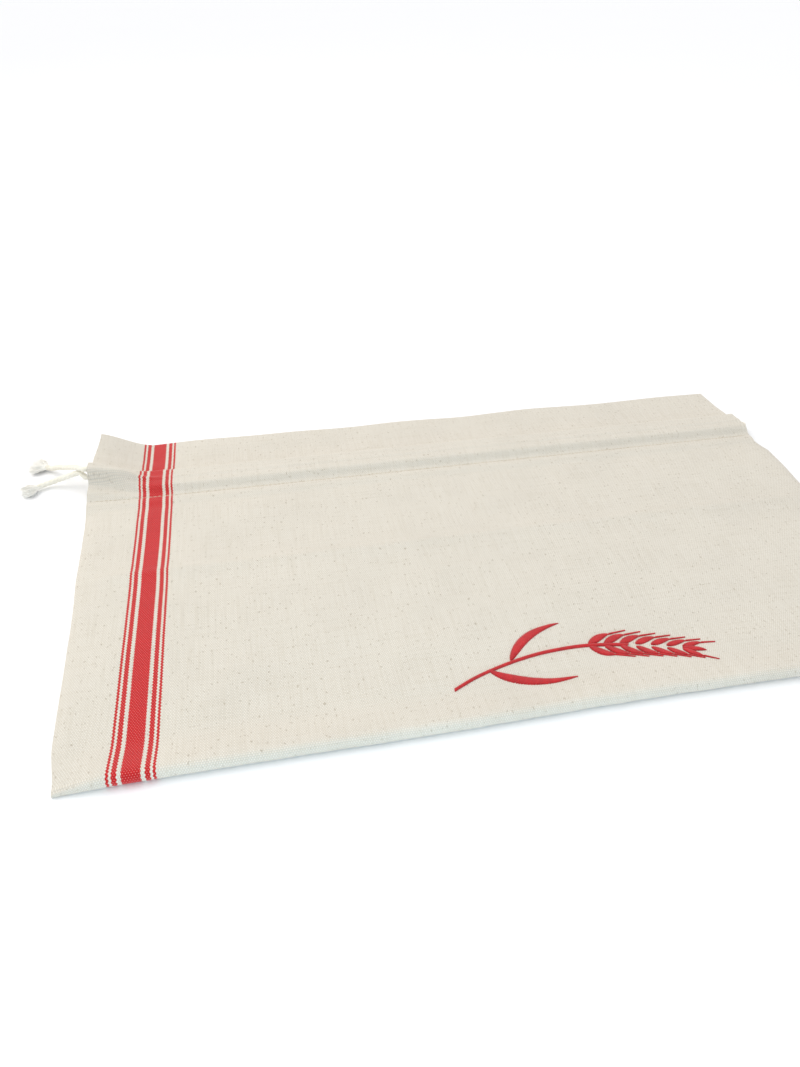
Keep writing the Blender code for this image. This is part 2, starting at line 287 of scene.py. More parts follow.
def grid(name, columns, rows):
    """A flat grid from (-1, -1) to (1, 1) with this many columns and rows of vertices."""
    deselect()
    bpy.ops.mesh.primitive_grid_add(x_subdivisions=columns - 1, y_subdivisions=rows - 1, size=2)
    piece = bpy.context.object
    piece.name = name
    piece.data.name = name
    return piece


def grid_index(vertex, columns, rows):
    """Column and row of a vertex of a fresh grid."""
    return (round((vertex.co.x + 1.0) / 2.0 * (columns - 1)),
            round((vertex.co.y + 1.0) / 2.0 * (rows - 1)))


def mesh_piece(name, shape):
    """An object at the origin from a finished bmesh."""
    mesh = bpy.data.meshes.new(name)
    shape.to_mesh(mesh)
    shape.free()
    piece = bpy.data.objects.new(name, mesh)
    bpy.context.scene.collection.objects.link(piece)
    return piece


# ---- materials -------------------------------------------------------------------------
def new_material(name):
    """A material with only its output and its Principled shader."""
    made = bpy.data.materials.new(name)
    made.use_nodes = True
    shader = made.node_tree.nodes["Principled BSDF"]
    shader.inputs["IOR"].default_value = 1.5
    return made, made.node_tree, shader


def add(tree, kind, inputs, output=0, **values):
    """Add a node and return one of its outputs.

    inputs gives a value or another node's output for an input's name or number, and values
    sets the node's own properties.
    """
    made = tree.nodes.new(kind)
    for name, value in values.items():
        setattr(made, name, value)
    for name, value in inputs.items():
        if isinstance(value, bpy.types.NodeSocket):
            tree.links.new(value, made.inputs[name])
        else:
            made.inputs[name].default_value = value
    return made.outputs[output]


def linen_material(bag):
    """Plain-woven half linen: uneven flax yarn, dull, with a warp stripe dyed red.

    The yarn gives fine darker slubs along both directions, a few straw flecks, and a soft
    sheen at grazing angles. The weave reads the cloth's own UV map, in metres.
    """
    made, tree, shader = new_material("woven_half_linen")
    uv = add(tree, "ShaderNodeUVMap", {}, uv_map="Weave")
    ends, picks = 1.0 / bag.warp_spacing, 1.0 / bag.weft_spacing

    # Counted threads: warp ends along X, weft picks along Y, both a little unsteady.
    unsteady = add(tree, "ShaderNodeTexNoise", {"Vector": uv, "Scale": 90.0, "Detail": 1.0})
    unsteady = add(tree, "ShaderNodeMath", {0: unsteady, 1: UNSTEADY, 2: -UNSTEADY / 2},
                   operation="MULTIPLY_ADD")
    unsteady = add(tree, "ShaderNodeCombineXYZ", {"X": unsteady, "Y": unsteady, "Z": 0.5})
    counted = add(tree, "ShaderNodeVectorMath", {0: uv, 1: (ends, picks, 0.0), 2: unsteady},
                  operation="MULTIPLY_ADD")
    over = add(tree, "ShaderNodeTexChecker", {"Vector": counted, "Scale": 1.0}, output="Fac")

    # Each thread is round: its height is the sine of the way across it.
    wave = add(tree, "ShaderNodeVectorMath", {0: counted, 1: (math.pi, math.pi, 0.0)},
               operation="MULTIPLY")
    wave = add(tree, "ShaderNodeVectorMath", {0: wave}, operation="SINE")
    rounds = add(tree, "ShaderNodeVectorMath", {0: wave}, operation="ABSOLUTE")
    warp_round = add(tree, "ShaderNodeSeparateXYZ", {0: rounds}, output="X")
    weft_round = add(tree, "ShaderNodeSeparateXYZ", {0: rounds}, output="Y")
    grain = add(tree, "ShaderNodeMix", {0: over, 2: warp_round, 3: weft_round},
                data_type="FLOAT")
    crown = add(tree, "ShaderNodeMath", {0: warp_round, 1: weft_round}, operation="MULTIPLY")
    weave = add(tree, "ShaderNodeMix", {0: CROWN_SHARE, 2: grain, 3: crown}, data_type="FLOAT")

    # Yarn: each thread keeps its tone for 30 to 40 mm along its length.
    tones = []
    for stretch in ((ends * 0.9, 30.0, 1.0), (26.0, picks * 1.1, 1.0)):
        along_yarn = add(tree, "ShaderNodeVectorMath", {0: uv, 1: stretch}, operation="MULTIPLY")
        tones.append(add(tree, "ShaderNodeTexNoise", {"Vector": along_yarn, "Scale": 1.0,
                                                      "Roughness": 0.6}))
    tone = add(tree, "ShaderNodeMix", {0: over, 2: tones[0], 3: tones[1]}, data_type="FLOAT")
    slub = add(tree, "ShaderNodeMapRange", {"Value": tone, "From Min": 0.44, "From Max": 0.74})
    straw = add(tree, "ShaderNodeVectorMath", {0: uv, 1: STRAW_GRAIN}, operation="MULTIPLY")
    straw = add(tree, "ShaderNodeTexNoise", {"Vector": straw, "Scale": 1.0, "Detail": 1.0,
                                             "Roughness": 0.4})
    straw = add(tree, "ShaderNodeMapRange", {"Value": straw, "From Min": 0.655,
                                             "From Max": 0.745})

    # Half linen: flax picks show as darker grains between the paler warp ends. In the stripe
    # the red warp lies closer, and the weft shows only as pale dots.
    flax = add(tree, "ShaderNodeMapRange", {"Value": crown, "From Min": 0.12, "From Max": 0.55})
    flax = add(tree, "ShaderNodeMath", {0: flax, 1: over}, operation="MULTIPLY")
    dots = add(tree, "ShaderNodeMapRange", {"Value": crown, "From Min": 0.62, "From Max": 0.95})
    dots = add(tree, "ShaderNodeMath", {0: dots, 1: over}, operation="MULTIPLY")
    linen, dyed = linear(bag.natural), linear(bag.red)
    for where, share, yarn in ((flax, 0.85, bag.flax), (slub, 0.38, bag.slub),
                               (straw, 0.42, bag.fleck)):
        part = add(tree, "ShaderNodeMath", {0: where, 1: share}, operation="MULTIPLY")
        linen = add(tree, "ShaderNodeMix", {0: part, 6: linen, 7: linear(yarn)}, output=2,
                    data_type="RGBA")
    for where, share, yarn in ((slub, 0.40, bag.dark_red), (dots, 0.34, bag.natural)):
        part = add(tree, "ShaderNodeMath", {0: where, 1: share}, operation="MULTIPLY")
        dyed = add(tree, "ShaderNodeMix", {0: part, 6: dyed, 7: linear(yarn)}, output=2,
                   data_type="RGBA")

    # Every second pick pushes the stripe's edge sideways, so it looks like small teeth.
    middle = bag.stripe_x + STRIPE_BANDS[-1][0] / 1000.0
    teeth = add(tree, "ShaderNodeSeparateXYZ", {0: wave}, output="Y")
    teeth = add(tree, "ShaderNodeMath", {0: teeth}, operation="SIGN")
    teeth = add(tree, "ShaderNodeMath", {0: teeth, 1: TOOTH, 2: -middle},
                operation="MULTIPLY_ADD")
    across = add(tree, "ShaderNodeSeparateXYZ", {0: uv}, output="X")
    across = add(tree, "ShaderNodeMath", {0: across, 1: teeth}, operation="ADD")
    across = add(tree, "ShaderNodeMath", {0: across}, operation="ABSOLUTE")
    across = add(tree, "ShaderNodeMath", {0: across, 1: STRIPE_REACH / 1000.0},
                 operation="DIVIDE", use_clamp=True)
    stripe = add(tree, "ShaderNodeValToRGB", {"Fac": across})
    ramp = stripe.node.color_ramp
    ramp.interpolation = "CONSTANT"
    while len(ramp.elements) < len(STRIPE_BANDS):
        ramp.elements.new(1.0)
    for element, (start, red) in zip(ramp.elements, STRIPE_BANDS):
        element.position = start / STRIPE_REACH
        element.color = (red, red, red, 1.0)
    colour = add(tree, "ShaderNodeMix", {0: stripe, 6: linen, 7: dyed}, output=2,
                 data_type="RGBA")

    # Painted shade darkens the hollows between threads, and the whole cloth is a little cloudy.
    cloud = add(tree, "ShaderNodeTexNoise", {"Vector": uv, "Scale": 22.0, "Detail": 3.0,
                                             "Roughness": 0.6})
    shade = add(tree, "ShaderNodeMath", {0: weave, 1: 0.62, 2: 0.645},
                operation="MULTIPLY_ADD", use_clamp=True)
    cloud = add(tree, "ShaderNodeMath", {0: cloud, 1: CLOUD, 2: -CLOUD / 2},
                operation="MULTIPLY_ADD")
    shade = add(tree, "ShaderNodeMath", {0: shade, 1: cloud}, operation="ADD", use_clamp=True)
    colour = add(tree, "ShaderNodeMix", {0: 1.0, 6: colour, 7: shade}, output=2,
                 data_type="RGBA", blend_type="MULTIPLY")
    tree.links.new(colour, shader.inputs["Base Color"])

    creep = add(tree, "ShaderNodeTexNoise", {"Vector": uv, "Scale": 210.0, "Detail": 3.0,
                                             "Roughness": 0.55})
    height = add(tree, "ShaderNodeMath", {0: weave, 1: 0.55}, operation="MULTIPLY")
    height = add(tree, "ShaderNodeMath", {0: creep, 1: 0.9, 2: height},
                 operation="MULTIPLY_ADD")
    height = add(tree, "ShaderNodeMath", {0: slub, 1: -0.15, 2: height},
                 operation="MULTIPLY_ADD")
    bump = add(tree, "ShaderNodeBump", {"Height": height, "Strength": 0.45,
                                        "Distance": 0.00022})
    tree.links.new(bump, shader.inputs["Normal"])
    shader.inputs["Roughness"].default_value = 0.88
    shader.inputs["Specular IOR Level"].default_value = 0.25
    shader.inputs["Sheen Weight"].default_value = 0.18
    shader.inputs["Sheen Roughness"].default_value = 0.55
    return made


def thread_material(name, colour, shade_colour, sheen, roughness, fibre_scale):
    """Spun thread: fine fibres catch the light, and painted shade darkens the hollows between
    them.

    The fibres are drawn coarser than real ones, so that they show.
    """
    made, tree, shader = new_material(name)
    where = add(tree, "ShaderNodeTexCoord", {}, output="Object")
    fibre = add(tree, "ShaderNodeTexNoise", {"Vector": where, "Scale": fibre_scale,
                                             "Detail": 3.0, "Roughness": 0.6})
    patch = add(tree, "ShaderNodeTexNoise", {"Vector": where, "Scale": fibre_scale / 9.0})
    both = add(tree, "ShaderNodeMix", {0: 0.4, 2: fibre, 3: patch}, data_type="FLOAT")
    # Painted shade: where the fibre noise is low, the thread takes the darker hollow colour.
    hollow_shade = add(tree, "ShaderNodeMapRange", {"Value": both, "From Min": 0.34, "From Max": 0.62,
                                            "To Min": 1.0, "To Max": 0.0})
    tint = add(tree, "ShaderNodeMix", {0: hollow_shade, 6: linear(colour), 7: linear(shade_colour)}, output=2,
               data_type="RGBA")
    tree.links.new(tint, shader.inputs["Base Color"])
    bump = add(tree, "ShaderNodeBump", {"Height": fibre, "Strength": 0.4, "Distance": 0.00012})
    tree.links.new(bump, shader.inputs["Normal"])
    shader.inputs["Roughness"].default_value = roughness
    shader.inputs["Specular IOR Level"].default_value = 0.35
    shader.inputs["Sheen Weight"].default_value = sheen
    return made


def cord_material(cord):
    """Twisted undyed cotton: matt, fluffy, with fine fibres."""
    made = bpy.data.materials.get("twisted_cotton")
    return made or thread_material("twisted_cotton", cord.colour, cord.shade, sheen=0.35,
                                   roughness=0.9, fibre_scale=1500.0)


def fibre_material(cord):
    """The same cotton come undone, with a paler colour painted in for the light that passes
    between the fibres.
    """
    made = bpy.data.materials.get("cotton_fibres")
    return made or thread_material("cotton_fibres", cord.fibres, cord.fibre_shade, sheen=0.6,
                                   roughness=0.95, fibre_scale=2400.0)


def table_material(stage):
    """Matt white laminate: even, without gloss."""
    made, tree, shader = new_material("matt_white_table")
    where = add(tree, "ShaderNodeTexCoord", {}, output="Object")
    mottle = add(tree, "ShaderNodeTexNoise", {"Vector": where, "Scale": 3.0})
    mottle = add(tree, "ShaderNodeMath", {0: mottle, 1: 0.05}, operation="MULTIPLY")
    tint = add(tree, "ShaderNodeMix", {0: mottle, 6: linear(stage.floor),
                                       7: linear(stage.mottle)}, output=2, data_type="RGBA")
    tree.links.new(tint, shader.inputs["Base Color"])
    shader.inputs["Roughness"].default_value = 0.9
    shader.inputs["Specular IOR Level"].default_value = 0.1
    return made


# ---- shape of the cloth ----------------------------------------------------------------
def hump(distance):
    """1 over a run of cord, falling to 0 on both sides."""
    past = abs(distance) - HUMP_TOP
    if past <= 0.0:
        return 1.0
    if past >= HUMP_FALL:
        return 0.0
    return 0.5 + 0.5 * math.cos(math.pi * past / HUMP_FALL)


def hump_slope(distance):
    """How steeply a hump of height 1 rises there."""
    return (hump(distance + NUDGE) - hump(distance - NUDGE)) / (2 * NUDGE)


def front_cord_v(x):
    """The front run climbs to the back run's place as it nears the left slit."""
    climb = 1.0 - smooth((x + WIDTH / 2) / CROSSING)
    return FRONT_CORD_V + (BACK_CORD_V - FRONT_CORD_V) * climb


def fold_height(x, v):
    """Sum of the soft folds of the front layer."""
    total = 0.0
    for fold_x, fold_v, direction, half_length, half_across, height in FOLDS:
        angle = math.radians(direction)
        along = (x - fold_x) * math.cos(angle) + (v - fold_v) * math.sin(angle)
        across = (v - fold_v) * math.cos(angle) - (x - fold_x) * math.sin(angle)
        total += height * math.exp(-(along / half_length) ** 2 - (across / half_across) ** 2)
    return total


def pressed_crease(v):
    """The sharp crease at half height, where the bag was folded to be put away."""
    away = v - HEIGHT / 2
    sharp = 0.0013 * math.exp(-abs(away) / 0.0035)
    broad = 0.0006 * math.exp(-(away / 0.014) ** 2)
    return sharp + broad


def crumple(x, v):
    """Fine unevenness of washed and ironed linen."""
    broad = noise.noise(Vector((x * 26.0, v * 30.0, 1.7)))
    fine = noise.noise(Vector((x * 75.0, v * 62.0, 5.1)))
    return 0.00055 * broad + 0.00016 * fine


def stitch_dimple(x, v):
    """The cloth is drawn down along the two rows, and puckers beside them."""
    total = 0.0
    for row in (LOWER_STITCH, UPPER_STITCH):
        away = v - row
        total -= DIMPLE * math.exp(-(away / 0.0011) ** 2)
        pucker = noise.noise(Vector((x * 150.0, row * 40.0, 3.0)))
        beside = (abs(away) - PUCKER_REACH) / PUCKER_REACH
        total += PUCKER * pucker * math.exp(-beside ** 2)
    return total


def gather(x, v):
    """Ridges that run into the left slit, where the cord draws the cloth together."""
    near = math.exp(-((x + WIDTH / 2) / GATHER_REACH) ** 2)
    band = smooth((v - 0.220) / 0.010) * smooth((0.276 - v) / 0.010)
    wave = math.sin((v - 0.2335) / GATHER_PITCH * math.pi + 45.0 * (x + WIDTH / 2))
    tacks = 0.0
    for row, start in ((LOWER_STITCH, 0.008), (UPPER_STITCH, 0.013)):
        away = math.hypot((x + WIDTH / 2 - start - 0.003) / 0.0045, (v - row) / 0.0016)
        tacks -= TACK * math.exp(-away ** 2)
    return near * band * GATHER * wave + tacks


def half_width(v, side=-1):
    """Half the width of the cloth at v, on the left (-1) or the right (1) side."""
    for (low, narrow), (high, wide) in zip(OUTLINE, OUTLINE[1:]):
        if v <= high:
            break
    half = narrow + (wide - narrow) * smooth((v - low) / (high - low))
    if side > 0:
        half -= RIGHT_TURN_IN * smooth((v - SLIT_START + 0.008) / 0.012)
    return half


def side_x(part, v):
    """x at this part of the width, 0 left and 1 right."""
    left, right = -half_width(v), half_width(v, 1)
    return left + (right - left) * part


def corner_lift(bag, x, v):
    """The heading's left corner stands up from the surface."""
    sideways = smooth((CORNER_REACH - WIDTH / 2 - x) / CORNER_REACH)
    past = max(0.0, v - CORNER_START)
    slope = past / (HEIGHT - CORNER_START)
    return bag.corner_lift * sideways * (SLIT_SHARE * smooth(past / SLIT_RISE)
                                         + (1.0 - SLIT_SHARE) * slope)


def layer_step(bag, v):
    """The layers lie closer towards the mouth."""
    return bag.layer_step - 0.0004 * smooth((v - UPPER_STITCH) / 0.020)


def heading_ruffle(x, v):
    """The heading waves a little along the mouth, all its layers together."""
    outward = smooth((v - UPPER_STITCH - 0.004) / 0.030)
    wave = 0.5 + 0.5 * noise.noise(Vector((x * 17.0, 0.4, 9.0))) * 1.6
    return outward * RUFFLE * max(0.0, wave)


def side_draw(x, v):
    """1 in the middle of the bag, 0 on the side seam, as a rounded edge."""
    inward = (half_width(v, math.copysign(1, x)) - abs(x)) / SIDE_ROUND
    if inward >= 1.0:
        return 1.0
    edge = math.sqrt(max(0.0, 1.0 - (1.0 - inward) ** 2))
    slit = smooth((v - SLIT_START + 0.006) / 0.008)
    return edge + (1.0 - edge) * slit


def body_gap(bag, x, v):
    """Air between the front and the back below the tunnel."""
    middle = smooth((half_width(v) - abs(x) - 0.003) / 0.022)
    puff = (bag.fold_gap - bag.body_gap) * (1.0 - smooth(v / 0.026))
    ends = smooth((SLIT_START - v) / 0.030)
    away_from_fold = smooth(v / 0.030)
    waves = (fold_height(x, v) + pressed_crease(v)) * away_from_fold * ends
    small = crumple(x, v) * smooth(v / 0.012) * smooth((HEM_END - v) / 0.012)
    gap = bag.body_gap + middle * (puff + waves) + small * (0.35 + 0.65 * middle)
    return max(LEAST_GAP, gap * side_draw(x, v))


def layer_height(bag, layer, x, v):
    """Height of the middle of a layer over the surface, before the corner lifts."""
    back = bag.cloth / 2
    if layer == "back":
        return back
    step = layer_step(bag, v)
    rise = settings("cord").diameter + CORD_SLACK
    if layer == "front" and v < HEM_END:
        meet = smooth((v - SLIT_START) / (HEM_END - SLIT_START))
        top = back + 3 * step
        return (1.0 - meet) * (back + bag.cloth + body_gap(bag, x, v)) + meet * top
    slope = rise * hump_slope(v - BACK_CORD_V)
    stack = step * math.sqrt(1.0 + slope * slope)
    level = back + step + rise * hump(v - BACK_CORD_V)
    if layer == "back_hem":
        return level
    level += stack
    if layer == "front_hem":
        return level
    steep = rise * abs(hump_slope(front_cord_v(x) - BACK_CORD_V))
    cord_top = level + stack + (rise + CLIMB_ROOM * steep) * hump(v - front_cord_v(x))
    return cord_top + stitch_dimple(x, v) * smooth((v - HEM_END) / 0.003) + max(
        -0.0002, gather(x, v))


def place(bag, x, v, z):
    """Point of the cloth at x and v, z above the table.

    The bottom fold wanders a little along X, and the side edges sway a little along Y.
    """
    wander = 0.0009 * (1.0 + 0.6 * math.sin(13.0 * x + 0.6) + 0.4 * math.sin(31.0 * x))
    wander += 0.0004 * noise.noise(Vector((x * 60.0, 2.0, 0.0)))
    y = v - HEIGHT / 2 + wander * (1.0 - smooth(v / 0.050))
    sway = 0.0011 * noise.noise(Vector((v * 22.0, math.copysign(4.0, x), 6.0)))
    shift = sway * smooth((abs(x) - WIDTH / 2 + 0.030) / 0.030) * smooth(v / 0.020)
    return Vector((x + shift, y, z + corner_lift(bag, x, v) + heading_ruffle(x, v)))


def cloth_rows(bag):
    """The strip's rows, from the back hem's end, round the bottom, to the front hem's.

    A row is a layer and its v, or a place on a turn: the layer before, the layer after, v,
    how far the turn reaches and the degrees turned.
    """
    tunnel = spread(LOWER_STITCH, UPPER_STITCH, 31)
    mouth_reach = layer_step(bag, HEIGHT) / 2
    mouth_v = HEIGHT - bag.cloth / 2 - mouth_reach
    heading = spread(UPPER_STITCH + 0.001, mouth_v, 17)
    fold_reach = (bag.fold_gap + bag.cloth) / 2
    fold_v = fold_reach + bag.cloth / 2
    body = spread(fold_v, SLIT_START, 86)
    meet = spread(SLIT_START + 0.0015, HEM_END, 6)
    between = spread(HEM_END + 0.001, LOWER_STITCH - 0.001, 3)
    hem = [HEM_END + 0.001] + tunnel[::2] + heading[1::3]
    mouth = (30, 60, 90, 120, 150)
    rows = [("back_hem", v) for v in hem]
    rows += [("back_hem", "back", mouth_v, mouth_reach, a) for a in mouth]
    rows += [("back", v) for v in reversed(heading[1::2])]
    rows += [("back", v) for v in reversed(tunnel[::6])]
    rows += [("back", v) for v in reversed(body[::5])]
    rows += [("back", "front", fold_v, -fold_reach, a) for a in range(15, 180, 15)]
    rows += [("front", v) for v in body + meet + between + tunnel + heading]
    rows += [("front", "front_hem", mouth_v, mouth_reach, a) for a in mouth]
    rows += [("front_hem", v) for v in reversed(hem)]
    return rows


def row_point(bag, row, part):
    """Point of a row at this part of the width, 0 left and 1 right, with its own x."""
    v = row[1] if len(row) == 2 else row[2]
    x = side_x(part, v)
    if len(row) == 2:
        return x, place(bag, x, v, layer_height(bag, row[0], x, v))
    from_layer, to_layer, _, reach, degrees = row
    start = layer_height(bag, from_layer, x, v)
    end = layer_height(bag, to_layer, x, v)
    turn = math.radians(degrees)
    z = (start + end) / 2 + (start - end) / 2 * math.cos(turn)
    if reach < 0.0:
        reach = -abs(end - start) / 2
        v = v - bag.fold_gap / 2 - bag.cloth / 2 - reach
    return x, place(bag, x, v + reach * math.sin(turn), z)


def column_parts(count):
    """Columns across the width, closer together at both sides."""
    crowding = 0.38
    parts = []
    for t in spread(0.0, 1.0, count):
        eased = 0.5 - 0.5 * math.cos(math.pi * t)
        parts.append((1.0 - crowding) * t + crowding * eased)
    return parts


def front_point(bag, x, v):
    """Point on the outer face of the front at x and v."""
    z = layer_height(bag, "front", x, v) + bag.cloth / 2
    return place(bag, x, v, z)


def front_frame(bag, x, v):
    """Point on the outer face of the front and the direction out of the cloth there."""
    across = front_point(bag, x + STITCH_SEAT, v) - front_point(bag, x - STITCH_SEAT, v)
    along = front_point(bag, x, v + STITCH_SEAT) - front_point(bag, x, v - STITCH_SEAT)
    out = across.normalized().cross(along.normalized()).normalized()
    return front_point(bag, x, v), out


# ---- operators -------------------------------------------------------------------------
class BREADBAG_OT_stage(bpy.types.Operator):
    """Set the table, the soft daylight and the camera"""
    bl_idname = "bread_bag.stage"
    bl_label = "Stage"

    def execute(self, context):
        stage = settings("stage")
        deselect()
        bpy.ops.mesh.primitive_plane_add(size=30.0, location=(0.0, 6.0, 0.0))
        bpy.ops.object.transform_apply(location=True, rotation=False, scale=False)
        table = context.object
        table.name = "table"
        table.data.materials.append(table_material(stage))

        lights = (
            ("daylight", "SUN", "angle", (-0.4, 0.6, 2.0), math.radians(80), stage.sun,
             (1.0, 0.985, 0.96)),
            ("cool_fill", "AREA", "size", (-0.10, -0.55, 0.10), 0.25, stage.fill,
             (0.45, 0.80, 1.0)),
            ("window_light", "AREA", "size", (-0.9, 0.5, 0.9), 1.0, stage.window,
             (1.0, 0.965, 0.90)),
        )
        for name, kind, measure, spot, size, strength, tint in lights:
            lamp = bpy.data.lights.new(name, kind)
            setattr(lamp, measure, size)
            lamp.energy = strength
            lamp.color = tint
            body = bpy.data.objects.new(name, lamp)
            context.scene.collection.objects.link(body)
            aim = -Vector(spot)
            body.matrix_world = (Matrix.Translation(spot)
                                 @ aim.to_track_quat("-Z", "Y").to_matrix().to_4x4())

        world = bpy.data.worlds.new("white_room")
        context.scene.world = world
        world.use_nodes = True
        sky = world.node_tree.nodes["Background"]
        sky.inputs["Color"].default_value = (0.975, 0.985, 1.0, 1.0)
        sky.inputs["Strength"].default_value = stage.sky
        context.scene.view_settings.view_transform = "Standard"

        lens = bpy.data.cameras.new("camera")
        lens.lens = stage.lens
        lens.sensor_width = 36.0
        lens.sensor_fit = "AUTO"
        lens.clip_start = 0.01
        camera = bpy.data.objects.new("camera", lens)
        context.scene.collection.objects.link(camera)
        look = Vector((math.sin(stage.yaw) * math.cos(stage.pitch),
                       math.cos(stage.yaw) * math.cos(stage.pitch), -math.sin(stage.pitch)))
        turn = look.to_track_quat("-Z", "Y").to_matrix().to_4x4()
        camera.matrix_world = (Matrix.Translation(stage.eye) @ turn
                               @ Matrix.Rotation(stage.roll, 4, "Z"))
        context.scene.camera = camera
        return {"FINISHED"}


class BREADBAG_OT_cloth(bpy.types.Operator):
    """Make the bag's linen: one strip folded at the bottom, with hems and side seams"""
    bl_idname = "bread_bag.cloth"
    bl_label = "Linen"

    def execute(self, context):
        bag = settings("cloth")
        rows = cloth_rows(bag)
        parts = column_parts(COLUMNS)
        cloth = grid("bag_cloth", len(parts), len(rows))
        points, widths = {}, {}
        for j, row in enumerate(rows):
            for i, part in enumerate(parts):
                widths[i, j], points[i, j] = row_point(bag, row, part)
        middle = len(parts) // 2
        lengths = [0.0]
        for j in range(1, len(rows)):
            lengths.append(lengths[-1] + (points[middle, j] - points[middle, j - 1]).length)
        places = {}
        for vertex in cloth.data.vertices:
            i, j = grid_index(vertex, len(parts), len(rows))
            vertex.co = points[i, j]
            places[vertex.index] = (widths[i, j], lengths[j])
        weave = cloth.data.uv_layers[0]
        weave.name = "Weave"
        for corner in cloth.data.loops:
            weave.data[corner.index].uv = places[corner.vertex_index]
        wall = cloth.modifiers.new("Thickness", "SOLIDIFY")
        wall.thickness = bag.cloth
        wall.offset = 0.0
        wall.use_even_offset = True
        apply_modifiers(cloth)
        bpy.ops.object.shade_smooth_by_angle(angle=math.radians(50))
        finish_piece(cloth, linen_material(bag), "linen", "bag_body")
        return {"FINISHED"}


def add_tube(shape, points, radius, sides, profile=None):
    """A closed tube along points, with its section turned with the path."""
    rings = []
    up = Vector((0.0, 0.0, 1.0))
    travelled = 0.0
    for k, point in enumerate(points):
        ahead = points[min(k + 1, len(points) - 1)] - points[max(k - 1, 0)]
        ahead.normalize()
        side = ahead.cross(up)
        if side.length < 0.05:
            side = ahead.cross(Vector((0.0, 1.0, 0.0)))
        side.normalize()
        high = side.cross(ahead)
        if k:
            travelled += (point - points[k - 1]).length
        ring = []
        for s in range(sides):
            angle = 2.0 * math.pi * s / sides
            reach = radius[k] if isinstance(radius, list) else radius
            if profile:
                reach *= profile(angle, travelled)
            ring.append(shape.verts.new(point + side * math.cos(angle) * reach
                                        + high * math.sin(angle) * reach))
        rings.append(ring)
    for first, second in zip(rings, rings[1:]):
        for s in range(sides):
            t = (s + 1) % sides
            shape.faces.new((first[s], second[s], second[t], first[t]))
    shape.faces.new(rings[0])
    shape.faces.new(list(reversed(rings[-1])))


class BREADBAG_OT_stitches(bpy.types.Operator):
    """Sew the two rows of machine stitches that hold the tunnel"""
    bl_idname = "bread_bag.stitches"
    bl_label = "Stitches"

    def execute(self, context):
        bag = settings("cloth")
        sewing = settings("stitch")
        shape = bmesh.new()
        left_inset, right_inset = 0.0055, 0.0035
        left = -half_width(LOWER_STITCH) + left_inset
        right = half_width(LOWER_STITCH, 1) - right_inset
        count = int((right - left) / sewing.stitch)
        arcs = spread(0.0, 1.0, 5)
        for row in (LOWER_STITCH, UPPER_STITCH):
            for n in range(count):
                start = left + n * sewing.stitch
                jitter = 0.00012 * math.sin(n * 2.3 + row * 900.0)
                points = []
                for t in arcs:
                    x = start + sewing.stitch * (0.07 + 0.86 * t)
                    point, out = front_frame(bag, x, row + jitter * (2 * t - 1))
                    bow = 0.55 * sewing.thread * math.sin(math.pi * t) - 0.12 * sewing.thread
                    points.append(point + out * bow)
                radii = [sewing.thread / 2 * (0.55 + 0.45 * math.sin(math.pi * t)) for t in arcs]
                add_tube(shape, points, radii, 6)
        stitches = mesh_piece("tunnel_stitches", shape)
        stitches.data.shade_smooth()
        thread = thread_material("cotton_sewing_thread", sewing.colour, sewing.shade, sheen=0.2,
                                 roughness=0.8, fibre_scale=2600.0)
        finish_piece(stitches, thread, "linen")
        return {"FINISHED"}


def leaf_outline(t, width, belly=0.42):
    """Half width of a grain or leaf at t along it, pointed at both ends."""
    lean = t ** (math.log(0.5) / math.log(belly))
    return width / 2 * max(0.0, math.sin(math.pi * lean)) ** 0.85


def satin_patch(shape, bag, sewing, spine, half_width_at, slant):
    """Satin stitches side by side across a spine, each thread a small arch."""
    run = [0.0]
    for a, b in zip(spine, spine[1:]):
        run.append(run[-1] + math.dist(a, b))
    total = run[-1]
    pitch = sewing.thread * 0.80
    count = max(4, int(total / pitch))
    arcs = spread(-1.0, 1.0, 7)
    for n in range(count + 1):
        t = n / count
        s = min(len(spine) - 2, int(t * (len(spine) - 1)))
        local = t * (len(spine) - 1) - s
        (x0, v0), (x1, v1) = spine[s], spine[s + 1]
        x, v = x0 + (x1 - x0) * local, v0 + (v1 - v0) * local
        dx, dv = x1 - x0, v1 - v0
        size = math.hypot(dx, dv)
        dx, dv = dx / size, dv / size
        reach = half_width_at(t)
        if reach < 0.00022:
            continue
        cos_s, sin_s = math.cos(slant), math.sin(slant)
        cx, cv = dx * cos_s - dv * sin_s, dx * sin_s + dv * cos_s
        reach *= 1.0 + 0.05 * math.sin(n * 1.9) + 0.04 * math.sin(n * 4.7)
        pad = min(sewing.padding, 0.55 * reach + 0.0002)
        points, radii = [], []
        for a in arcs:
            px, pv = x + cx * a * reach, v + cv * a * reach
            point, out = front_frame(bag, px, pv)
            lift = pad * math.sqrt(max(0.0, 1.0 - a * a)) - 0.00010
            points.append(point + out * lift)
            radii.append(sewing.thread / 2 * (1.0 if abs(a) < 0.99 else 0.7))
        add_tube(shape, points, radii, 5)


def away_from(point, distance, angle):
    """The point this far away at this angle."""
    return (point[0] + distance * math.cos(angle), point[1] + distance * math.sin(angle))


def bezier(a, b, c, count=14):
    """Points of a quadratic curve."""
    points = []
    for t in spread(0.0, 1.0, count):
        points.append(tuple((1 - t) ** 2 * p + 2 * t * (1 - t) * q + t * t * r
                            for p, q, r in zip(a, b, c)))
    return points


